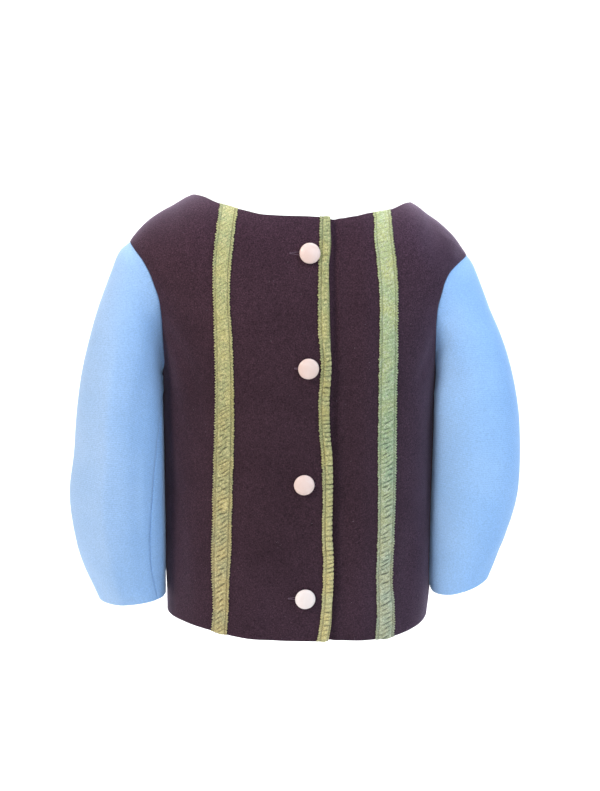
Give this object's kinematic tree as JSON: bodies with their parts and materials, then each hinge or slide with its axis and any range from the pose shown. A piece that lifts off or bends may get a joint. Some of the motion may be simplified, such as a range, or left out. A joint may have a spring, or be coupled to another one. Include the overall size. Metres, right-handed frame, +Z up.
{
  "type": "wool jacket",
  "caption": "Collarless cropped wool jacket with full two-piece sleeves, a ruched ribbon on each front and round the front edge, and domed shank buttons, filled out with no wearer.",
  "frame": {"origin": "middle of the neck opening, level with the neck points, where the wearer's neck and shoulders hold the jacket up", "axes": "+Z up, the fronts face -Y, +X towards the wearer's left"},
  "size_m": [0.6237, 0.239, 0.5931],
  "materials": {
    "brown_wool": "matt felted wool",
    "blue_wool": "matt brushed wool",
    "green_ribbon": "soft sheen",
    "pink_button": "pearly gloss"
  },
  "bodies": {
    "root": {"back": "brown_wool", "front_left": "brown_wool", "front_right": "brown_wool", "sleeve_upper_left": "blue_wool", "sleeve_upper_right": "blue_wool", "sleeve_under_left": "blue_wool", "sleeve_under_right": "blue_wool", "ribbon_left": "green_ribbon", "ribbon_right": "green_ribbon", "ribbon_edge": "green_ribbon", "button_1": "pink_button", "button_2": "pink_button", "button_3": "pink_button", "button_4": "pink_button"}
  },
  "joints": []
}
